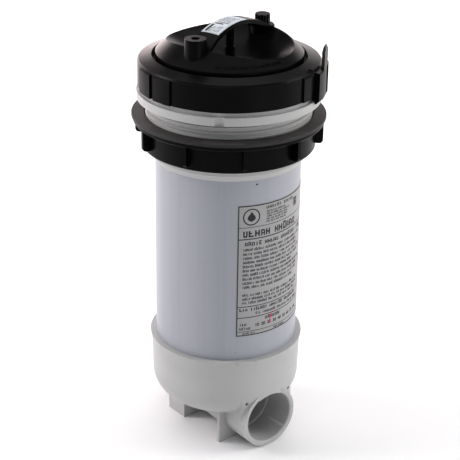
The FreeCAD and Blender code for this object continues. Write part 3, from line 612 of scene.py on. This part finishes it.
@dataclass
class PrintSheet:
    """Flat print in millimetres that is wrapped on a surface and given a skin's thickness."""

    seed: int
    skin: float = 0.04 * MM
    longest: float = 4.0
    mesh: bmesh.types.BMesh = field(default_factory=bmesh.new)
    chance: random.Random = field(init=False)

    def __post_init__(self) -> None:
        """Starts the sheet's own run of chance."""
        self.chance = random.Random(self.seed)

    def bar(self, left: float, bottom: float, right: float, top: float) -> None:
        """A filled rectangle, cut short enough to bend.

        Args:
            left: Its left side.
            bottom: Its foot.
            right: Its right side.
            top: Its top.
        """
        cuts = max(1, math.ceil((right - left) / self.longest))
        rise = max(1, math.ceil((top - bottom) / self.longest))
        middle = Vector(((left + right) / 2, (bottom + top) / 2, 0.0))
        spread = Matrix.Diagonal((right - left, top - bottom, 1.0, 1.0))
        bmesh.ops.create_grid(self.mesh, x_segments=cuts, y_segments=rise, size=0.5,
                              matrix=Matrix.Translation(middle) @ spread)

    def box(self, left: float, bottom: float, right: float, top: float, line: float) -> None:
        """A rectangle's outline.

        Args:
            left: Its left side.
            bottom: Its foot.
            right: Its right side.
            top: Its top.
            line: The width of its line, which lies inside.
        """
        self.bar(left, bottom, right, bottom + line)
        self.bar(left, top - line, right, top)
        self.bar(left, bottom + line, left + line, top - line)
        self.bar(right - line, bottom + line, right, top - line)

    def slash(self, start: Vector, end: Vector, width: float) -> None:
        """A straight stroke.

        Args:
            start: Where it starts.
            end: Where it ends.
            width: How wide it is.
        """
        along = end - start
        turn = Matrix.Rotation(math.atan2(along.y, along.x), 4, "Z")
        spread = Matrix.Diagonal((along.length, width, 1.0, 1.0))
        middle = Matrix.Translation((start + end) / 2)
        bmesh.ops.create_grid(self.mesh, x_segments=3, y_segments=1, size=0.5,
                              matrix=middle @ turn @ spread)

    def words(self, left: float, foot: float, right: float, tall: float,
              wide: float) -> None:
        """A line of blocks that stands for words and says nothing.

        Args:
            left: Where the line starts.
            foot: The height of its foot.
            right: Where it has to stop.
            tall: The height of its characters.
            wide: The width of a character as a share of its height.
        """
        across = left
        while across < right - 3 * tall:
            for _ in range(self.chance.randint(3, 8)):
                cell = tall * wide * self.chance.uniform(0.75, 1.1)
                if across + cell > right:
                    return
                rise = tall * (1.0 if self.chance.random() < 0.3 else 0.8)
                for x0, y0, x1, y1 in self.chance.choice(list(Stroke)).value:
                    self.bar(across + x0 * cell * 0.8, foot + y0 * rise,
                             across + x1 * cell * 0.8, foot + y1 * rise)
                across += cell
            across += tall * wide * 0.8

    def number(self, text: str, left: float, foot: float, tall: float) -> None:
        """A number of a scale in the plain built-in face.

        Args:
            text: The number.
            left: Where it starts.
            foot: The height of its foot.
            tall: The height of its figures.
        """
        curve = bpy.data.curves.new("figure", "FONT")
        curve.body = text
        curve.size = tall * 1.38
        curve.resolution_u = 3
        curve.offset = tall * 0.045
        holder = bpy.data.objects.new("figure", curve)
        figure = bpy.data.meshes.new_from_object(holder)
        figure.transform(Matrix.Translation((left, foot, 0.0)))
        self.mesh.from_mesh(figure)
        bpy.data.objects.remove(holder)
        bpy.data.curves.remove(curve)
        bpy.data.meshes.remove(figure)

    def wrap(self, lay: Callable[[float, float], Vector]) -> bmesh.types.BMesh:
        """Lays the print on a surface and gives it a skin.

        Args:
            lay: The point on the surface, in metres, for a point of the sheet in millimetres.

        Returns:
            The closed print.
        """
        for vertex in self.mesh.verts:
            vertex.co = lay(vertex.co.x, vertex.co.y)
        bmesh.ops.remove_doubles(self.mesh, verts=self.mesh.verts, dist=1e-7)
        bmesh.ops.solidify(self.mesh, geom=self.mesh.faces[:], thickness=-self.skin)
        return self.mesh


@dataclass(frozen=True)
class TextBlock:
    """Lines of blocks that stand for words, in millimetres, the top line first."""

    left: float
    foot: float
    right: float
    tall: float
    wide: float = 0.62
    lines: int = 1
    pitch: float = 0.0
    ragged: float = 0.0
    period: int = 1
    last: float = 0.0

    def print_on(self, sheet: PrintSheet) -> None:
        """Adds the lines, each cut shorter by its place in a repeating run.

        Args:
            sheet: The sheet that they are printed on.
        """
        for line in range(self.lines):
            short = self.ragged * (line % self.period)
            if self.last and line == self.lines - 1:
                short = self.last
            sheet.words(self.left, self.foot - self.pitch * line, self.right - short,
                        self.tall, self.wide)


@dataclass(frozen=True)
class DropBadge:
    """A plain drop in a ring, made of short strokes, in millimetres."""

    across: float = 15.0
    up: float = 141.5
    half: float = 9.0
    line: float = 1.3
    strokes: int = 28
    bars: int = 15

    def print_on(self, sheet: PrintSheet) -> None:
        """Adds the ring and the drop.

        Args:
            sheet: The sheet that they are printed on.
        """
        ring = [Vector((self.across + self.half * math.cos(math.tau * i / self.strokes),
                        self.up + self.half * math.sin(math.tau * i / self.strokes), 0.0))
                for i in range(self.strokes + 1)]
        for start, end in zip(ring, ring[1:]):
            sheet.slash(start, end, self.line)
        for i in range(self.bars):
            rise = (i + 0.5) / self.bars
            wide = self.half * 0.5 * math.sin(math.pi * (1 - rise) ** 1.7) ** 0.8
            level = self.up - self.half * 0.62 + rise * self.half * 1.3
            sheet.bar(self.across - wide, level, self.across + wide, level + self.half * 0.09)


@dataclass
class BodyLabel:
    """The instruction label round the tube: ruled panels, greeked text and a capacity scale.

    Places on the label are in millimetres from its lower left corner.
    """

    border: float = 1.1
    margin: float = 0.25
    side_inset: float = 5.0
    rules: tuple[tuple[float, float], ...] = (
        (129.4, 0.6), (115.6, 1.1), (35.4, 0.8), (22.2, 0.8), (5.2, 0.6),
    )
    badge: DropBadge = DropBadge()
    maker: tuple[TextBlock, ...] = (
        TextBlock(32.0, 148.4, 74.0, 3.8, 1.0),
        TextBlock(32.5, 144.4, 66.0, 2.0, lines=5, pitch=2.9, ragged=-3.0, period=2),
    )
    code_left: float = 75.0
    code_foot: float = 138.0
    code_pitch: float = 1.7
    code_cell: float = 1.6
    code_columns: int = 5
    code_rows: int = 6
    paragraphs: tuple[TextBlock, ...] = (
        TextBlock(6.0, 118.4, 104.0, 9.0, 0.76),
        TextBlock(8.0, 108.2, 100.0, 5.0, 0.86),
        TextBlock(6.2, 102.4, 100.0, 3.1, lines=6, pitch=4.95, ragged=4.0, period=3, last=22.0),
        TextBlock(6.2, 72.7, 100.0, 3.1, lines=4, pitch=4.95, ragged=4.0, period=3, last=22.0),
        TextBlock(6.2, 48.4, 98.0, 3.1, lines=3, pitch=4.6, ragged=5.0, period=3),
        TextBlock(3.4, 30.4, 90.0, 3.8, 0.9),
        TextBlock(22.0, 25.2, 92.0, 3.0, 0.8),
    )
    side_left: float = 110.0
    side_top: float = 108.0
    side_lines: int = 26
    scale_words: tuple[TextBlock, ...] = (
        TextBlock(34.0, 16.8, 62.0, 4.2, 0.85),
        TextBlock(3.6, 12.6, 19.0, 3.2, 0.85),
        TextBlock(3.6, 7.6, 18.0, 3.2, 0.85),
    )
    scale_numbers: tuple[str, ...] = ("10", "20", "25", "35", "40", "50", "60", "75", "100")
    scale_left: float = 21.5
    scale_pitch: float = 7.7
    scale_foot: float = 10.2
    scale_tall: float = 3.7
    foot_words: tuple[TextBlock, ...] = (
        TextBlock(7.0, 2.0, 28.0, 2.2),
        TextBlock(46.0, 2.0, 64.0, 2.2),
    )
    pen_strokes: tuple[tuple[float, float, float, float, float], ...] = (
        (43.6, 24.5, 40.4, 17.5, 0.8), (41.0, 18.6, 39.2, 11.6, 1.2),
        (38.4, 13.2, 39.9, 11.0, 1.3),
    )
    clear: float = 0.02 * MM
    pen_lift: float = 0.048 * MM
    foot: float = field(init=False)
    tall: float = field(init=False)
    radius: float = field(init=False)
    start: float = field(init=False)
    wide: float = field(init=False)

    def __post_init__(self) -> None:
        """Reads the label's place from its node."""
        low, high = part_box("body_label")
        self.foot = low.z
        self.tall = (high.z - low.z) / MM
        corners = [vertex.co for vertex in frame["nodes"]["body_label"].data.vertices]
        self.radius = max(corner.xy.length for corner in corners)
        near = min(corners, key=lambda corner: corner.x)
        far = max(corners, key=lambda corner: corner.x)
        self.start = math.atan2(near.y, near.x)
        self.wide = (math.atan2(far.y, far.x) - self.start) * self.radius / MM

    def lay(self, across: float, up: float, lift: float = 0.0) -> Vector:
        """A point of the label's face on the tube.

        Args:
            across: How far it is from the label's left side.
            up: How far it is above the label's foot.
            lift: How far it stands off the face, in metres.

        Returns:
            The point, in metres.
        """
        angle = self.start + across * MM / self.radius
        out = self.radius + self.clear + lift
        return Vector((out * math.cos(angle), out * math.sin(angle), self.foot + up * MM))

    def build(self) -> None:
        """Makes the ink and the marker stroke."""
        sheet = PrintSheet(seed=11)
        right = self.wide - self.margin
        self._panels(sheet, right)
        self._heading(sheet)
        self._instructions(sheet, right)
        self._scale(sheet, right)
        add_piece("body_label_print", sheet.wrap(self.lay), Finish.INK, "housing",
                  "label_vinyl")
        self._marker()

    def _panels(self, sheet: PrintSheet, right: float) -> None:
        """The border and the rules that part the panels.

        Args:
            sheet: The label's sheet.
            right: Its right margin.
        """
        sheet.box(self.margin, self.margin, right, self.tall - self.margin, self.border)
        for height, line in self.rules:
            sheet.bar(self.margin, height, right, height + line)

    def _heading(self, sheet: PrintSheet) -> None:
        """The badge, the maker's block and the square code.

        Args:
            sheet: The label's sheet.
        """
        self.badge.print_on(sheet)
        for block in self.maker:
            block.print_on(sheet)
        for column in range(self.code_columns):
            for row in range(self.code_rows):
                if (column * row + column + row) % 3:
                    left = self.code_left + self.code_pitch * column
                    foot = self.code_foot + self.code_pitch * row
                    sheet.bar(left, foot, left + self.code_cell, foot + self.code_cell)

    def _instructions(self, sheet: PrintSheet, right: float) -> None:
        """The title, the paragraphs, the pressure panel and the narrow side column.

        Args:
            sheet: The label's sheet.
            right: Its right margin.
        """
        for block in self.paragraphs:
            block.print_on(sheet)
        side = TextBlock(self.side_left, self.side_top, right - self.side_inset, 1.7,
                         lines=self.side_lines, pitch=3.6, ragged=6.0, period=2)
        side.print_on(sheet)

    def _scale(self, sheet: PrintSheet, right: float) -> None:
        """The capacity scale with its row of numbers, and the strip under it.

        Args:
            sheet: The label's sheet.
            right: Its right margin.
        """
        for block in self.scale_words:
            block.print_on(sheet)
        for index, number in enumerate(self.scale_numbers):
            sheet.number(number, self.scale_left + self.scale_pitch * index,
                         self.scale_foot, self.scale_tall)
        for block in self.foot_words:
            block.print_on(sheet)
        side = TextBlock(self.side_left, 10.0, right - self.side_inset, 2.4)
        side.print_on(sheet)

    def _marker(self) -> None:
        """The felt-pen stroke that picks out one number of the scale."""
        pen = PrintSheet(seed=5, skin=0.05 * MM)
        for x0, y0, x1, y1, width in self.pen_strokes:
            pen.slash(Vector((x0, y0, 0.0)), Vector((x1, y1, 0.0)), width)
        ink = pen.wrap(lambda across, up: self.lay(across, up, self.pen_lift))
        add_piece("capacity_marker", ink, Finish.MARKER, "housing", "label_vinyl")


@dataclass(frozen=True)
class Fleck:
    """A dark fleck on the tube, at an angle and a height, in degrees and millimetres."""

    angle: float
    height: float
    wide: float
    tall: float
    clear: float = 0.03 * MM
    skin: float = 0.12 * MM
    corners: int = 14

    def build(self, name: str) -> None:
        """Lays the fleck on the tube's skin.

        Args:
            name: The piece's name.
        """
        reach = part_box("filter_body")[1].x
        out = reach + self.clear
        bm = bmesh.new()
        bmesh.ops.create_circle(bm, cap_ends=True, segments=self.corners, radius=0.5)
        bmesh.ops.subdivide_edges(bm, edges=bm.edges, cuts=1)
        for vertex in bm.verts:
            angle = math.radians(self.angle) + vertex.co.x * self.wide * MM / reach
            vertex.co = (out * math.cos(angle), out * math.sin(angle),
                         (self.height + vertex.co.y * self.tall) * MM)
        bmesh.ops.solidify(bm, geom=bm.faces[:], thickness=-self.skin)
        add_piece(name, bm, Finish.INK, "housing", "white_tube")


@dataclass
class LidPrint:
    """The strip on the handle and the raised marks on the lid's slope, on one dome.

    Places on the strip are in millimetres from the lid's axis, along the handle and across it.
    """

    dome: float = 109.2 * MM
    handle_turn: float = math.radians(16.6)
    strip: tuple[float, float, float, float] = (-35.4, -10.4, 13.4, 10.4)
    strip_line: float = 0.35
    strip_rise: float = 0.338 * MM
    strip_bars: tuple[tuple[float, float, float, float], ...] = (
        (-34.0, 5.4, -19.0, 8.6), (-34.0, 3.6, -26.0, 4.4), (-17.6, -3.0, -15.2, 7.4),
        (-13.6, -8.0, -12.2, 6.0),
    )
    strip_words: tuple[TextBlock, ...] = (
        TextBlock(-33.5, 1.4, -19.5, 1.4, 0.75, lines=5, pitch=2.2, ragged=2.0, period=2),
        TextBlock(-10.5, 6.6, 12.0, 1.5, 0.75, lines=7, pitch=2.3, ragged=3.0, period=3),
    )
    ring_radius: float = 75.2
    ring_from: float = math.radians(-139.0)
    ring_span: float = math.radians(60.0)
    ring_tall: float = 2.6
    ring_relief: float = 0.35 * MM
    top: float = field(init=False)

    def __post_init__(self) -> None:
        """Reads the dome's top from the lid."""
        self.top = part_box("lid")[1].z

    def height(self, out: float, rise: float) -> float:
        """The dome's height at a distance from its axis, raised along its own normal."""
        ball = self.dome + rise
        return self.top - self.dome + math.sqrt(ball**2 - out**2)

    def lay_strip(self, along: float, across: float) -> Vector:
        """A point of the strip on the handle.

        Args:
            along: Its place along the handle.
            across: Its place across the handle.

        Returns:
            The point, in metres.
        """
        flat = Vector((along * MM, across * MM))
        turned = Matrix.Rotation(self.handle_turn, 2) @ flat
        return Vector((*turned, self.height(flat.length, self.strip_rise)))

    def lay_ring(self, along: float, up: float) -> Vector:
        """A point of the marks on the lid's slope, whose feet point outwards.

        Args:
            along: Its place along the ring of marks.
            up: Its height above the marks' feet.

        Returns:
            The point, in metres.
        """
        angle = self.ring_from + along / self.ring_radius
        out = (self.ring_radius - up) * MM
        return Vector((out * math.cos(angle), out * math.sin(angle), self.height(out, 0.0)))

    def build(self) -> None:
        """Makes the strip's print and the raised marks."""
        sheet = PrintSheet(seed=23, skin=0.02 * MM)
        sheet.box(*self.strip, self.strip_line)
        for bar in self.strip_bars:
            sheet.bar(*bar)
        for block in self.strip_words:
            block.print_on(sheet)
        add_piece("lid_label_print", sheet.wrap(self.lay_strip), Finish.INK, "lid",
                  "label_vinyl")
        marks = PrintSheet(seed=31, skin=self.ring_relief)
        marks.words(0.0, 0.0, self.ring_radius * self.ring_span, self.ring_tall, 0.7)
        add_piece("lid_slope_marks", marks.wrap(self.lay_ring), Finish.BLACK_ABS, "lid",
                  "black_abs")


# ---------------------------------------------------------------- sub-assemblies


@dataclass
class Housing:
    """The white shell: base cap, tube, collar and the label on the tube."""

    parts: tuple[Moulding, ...] = (
        Moulding("base_cap", 0.7 * MM, 1.2 * MM),
        Moulding("threaded_collar", 0.35 * MM, 0.25 * MM),
    )
    flecks: tuple[Fleck, ...] = (
        Fleck(-105.9, 324.8, 2.3, 1.7), Fleck(-120.8, 126.8, 0.9, 0.8),
        Fleck(-144.0, 236.0, 0.6, 0.6), Fleck(34.0, 281.0, 0.9, 0.7),
    )

    def build(self) -> None:
        """Makes the rounded mouldings, the print and the tube's flecks."""
        for part in self.parts:
            part.build()
        BodyLabel().build()
        for index, fleck in enumerate(self.flecks):
            fleck.build(f"tube_fleck_{index}")


@dataclass
class DeckFitting:
    """The black nut and gasket that clamp a deck."""

    nut: Moulding = Moulding("mounting_nut", 0.45 * MM, 0.35 * MM)
    gasket: Moulding = Moulding("mounting_gasket", 0.5 * MM, 0.0)

    def build(self) -> None:
        """Makes the rounded nut and gasket."""
        self.nut.build()
        self.gasket.build()


@dataclass
class Closure:
    """The lid, the lock ring with its tab, and the air relief screw."""

    parts: tuple[Moulding, ...] = (
        Moulding("lid", 0.6 * MM, 0.8 * MM),
        Moulding("lock_ring", 0.45 * MM, 0.4 * MM),
        Moulding("lock_tab", 0.5 * MM, 0.3 * MM),
        Moulding("air_relief_screw", 0.35 * MM, 0.25 * MM),
    )

    def build(self) -> None:
        """Makes the rounded mouldings and the lid's print."""
        for part in self.parts:
            part.build()
        LidPrint().build()


@dataclass
class InnerWorks:
    """Everything that keeps its frame shape, and the valve's spring of round wire."""

    joint: str = "bypass_travel"
    wire: float = 1.2 * MM
    own: dict[str, Finish] = field(default_factory=lambda: {"lid_label": Finish.STICKER})

    def build(self) -> None:
        """Dresses every frame node in the finish of its slot."""
        for name, node in frame["nodes"].items():
            finish = self.own.get(name, SLOT_FINISH[NODE_SLOT[name]])
            node.material_slots[0].material = finish.material()
        self._spring()

    def _spring(self) -> None:
        """Copies the valve's spring into a piece with a mesh of its own, in place of the node.
        """
        coil = Moulding("bypass_spring", 0.0, 0.0).build()
        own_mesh(coil)


# ---------------------------------------------------------------------- studio


@dataclass(frozen=True)
class Viewpoint:
    """Where the camera stands, in metres and degrees, and its lens in millimetres."""

    azimuth: float = -38.4
    away: float = 1.4154
    height: float = 0.8857
    pitch: float = 24.561
    yaw: float = 0.128
    roll: float = 0.871
    lens: float = 109.41
    sensor: float = 36.0

    def build(self) -> None:
        """Makes the camera and gives it to the scene."""
        data = bpy.data.cameras.new("camera")
        data.lens = self.lens
        data.sensor_width = self.sensor
        data.clip_end = 50.0
        data.dof.use_dof = False
        camera = bpy.data.objects.new("camera", data)
        bpy.context.scene.collection.objects.link(camera)
        about = Matrix.Rotation(math.radians(self.azimuth), 4, "Z")
        stand = Matrix.Translation((0.0, -self.away, self.height))
        turn = Matrix.Rotation(math.radians(-self.yaw), 4, "Z")
        tilt = Matrix.Rotation(math.radians(90.0 - self.pitch), 4, "X")
        lean = Matrix.Rotation(math.radians(self.roll), 4, "Z")
        camera.matrix_world = about @ stand @ turn @ tilt @ lean
        bpy.context.scene.camera = camera


@dataclass(frozen=True)
class Softbox:
    """One soft lamp, placed round the housing by the angle from the viewpoint.

    It looks at a point on the housing's axis, or behind it by aim_back.
    """

    name: str
    side: float
    away: float
    height: float
    wide: float
    tall: float
    watts: float
    colour: Colour = (1.0, 1.0, 1.0)
    aim: float = 0.28
    aim_back: float = 0.0

    def build(self, azimuth: float) -> None:
        """Makes the lamp.

        Args:
            azimuth: The viewpoint's azimuth in degrees, which side is counted from.
        """
        data = bpy.data.lights.new(self.name, "AREA")
        data.shape = "RECTANGLE"
        data.size = self.wide
        data.size_y = self.tall
        data.energy = self.watts
        data.color = self.colour
        lamp = bpy.data.objects.new(self.name, data)
        bpy.context.scene.collection.objects.link(lamp)
        about = Matrix.Rotation(math.radians(azimuth), 3, "Z")
        angle = math.radians(self.side - 90.0)
        stand = about @ Vector((self.away * math.cos(angle), self.away * math.sin(angle),
                                self.height))
        target = about @ Vector((0.0, self.aim_back, self.aim))
        look = (target - stand).to_track_quat("-Z", "Y")
        lamp.matrix_world = Matrix.Translation(stand) @ look.to_matrix().to_4x4()


@dataclass(frozen=True)
class Studio:
    """The plain pale floor, the soft lamps and the camera."""

    view: Viewpoint = Viewpoint()
    lamps: tuple[Softbox, ...] = (
        Softbox("left_box", side=-94.0, away=2.3, height=1.25, wide=0.9, tall=1.5,
                watts=33.0, colour=(1.0, 0.955, 0.96)),
        Softbox("right_box", side=92.0, away=2.3, height=1.2, wide=1.0, tall=1.6,
                watts=25.0, colour=(1.0, 0.965, 0.945)),
        Softbox("back_left_box", side=-150.0, away=2.35, height=0.65, wide=2.4, tall=1.1,
                watts=28.0, colour=(1.0, 0.87, 0.855), aim=0.5),
        Softbox("back_right_box", side=150.0, away=2.35, height=0.65, wide=2.4, tall=1.1,
                watts=13.0, colour=(1.0, 0.92, 0.90), aim=0.5),
        Softbox("ceiling_box", side=180.0, away=0.3, height=3.4, wide=5.0, tall=5.0,
                watts=66.0, colour=(0.97, 0.99, 1.0), aim=0.0, aim_back=0.3),
        Softbox("port_fill", side=38.0, away=2.6, height=0.3, wide=0.9, tall=0.5,
                watts=5.0, colour=(1.0, 1.0, 0.98), aim=0.05),
    )
    floor_half: float = 6.0
    sky: Colour = (0.93, 0.95, 1.0)
    sky_strength: float = 0.26

    def build(self) -> None:
        """Makes the floor, the world, the lamps and the camera."""
        bpy.context.scene.view_settings.view_transform = "Standard"
        bpy.context.scene.view_settings.look = "Medium High Contrast"
        self.view.build()
        for lamp in self.lamps:
            lamp.build(self.view.azimuth)
        self._floor()
        self._world()

    def _floor(self) -> None:
        """A wide pale sheet with the faintest mottling."""
        bm = bmesh.new()
        bmesh.ops.create_grid(bm, x_segments=8, y_segments=8, size=self.floor_half)
        mesh = bpy.data.meshes.new("floor")
        bm.to_mesh(mesh)
        bm.free()
        g = Graph("floor_finish")
        tint = g.mix(g.noise(1.4, 2.0, 0.5) * 0.3, (0.93, 0.93, 0.93), (0.9, 0.9, 0.905))
        mesh.materials.append(g.surface(Base_Color=tint, Roughness=0.6))
        floor = bpy.data.objects.new("floor", mesh)
        bpy.context.scene.collection.objects.link(floor)
        floor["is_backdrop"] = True

    def _world(self) -> None:
        """A plain light surround."""
        world = bpy.data.worlds.new("surround")
        world.use_nodes = True
        back = world.node_tree.nodes["Background"]
        back.inputs["Color"].default_value = (*self.sky, 1.0)
        back.inputs["Strength"].default_value = self.sky_strength
        bpy.context.scene.world = world


# ------------------------------------------------------------------------ main


def main() -> None:
    """Builds the housing's looks and its studio, and logs each step."""
    logging.basicConfig(level=logging.INFO, format="%(message)s")
    for assembly in (Studio(), InnerWorks(), Housing(), DeckFitting(), Closure()):
        assembly.build()
        LOG.info("built %s", type(assembly).__name__)
    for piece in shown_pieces():
        LOG.info("%s: %d faces", piece.name, len(piece.data.polygons))


if __name__ == "__main__":
    main()
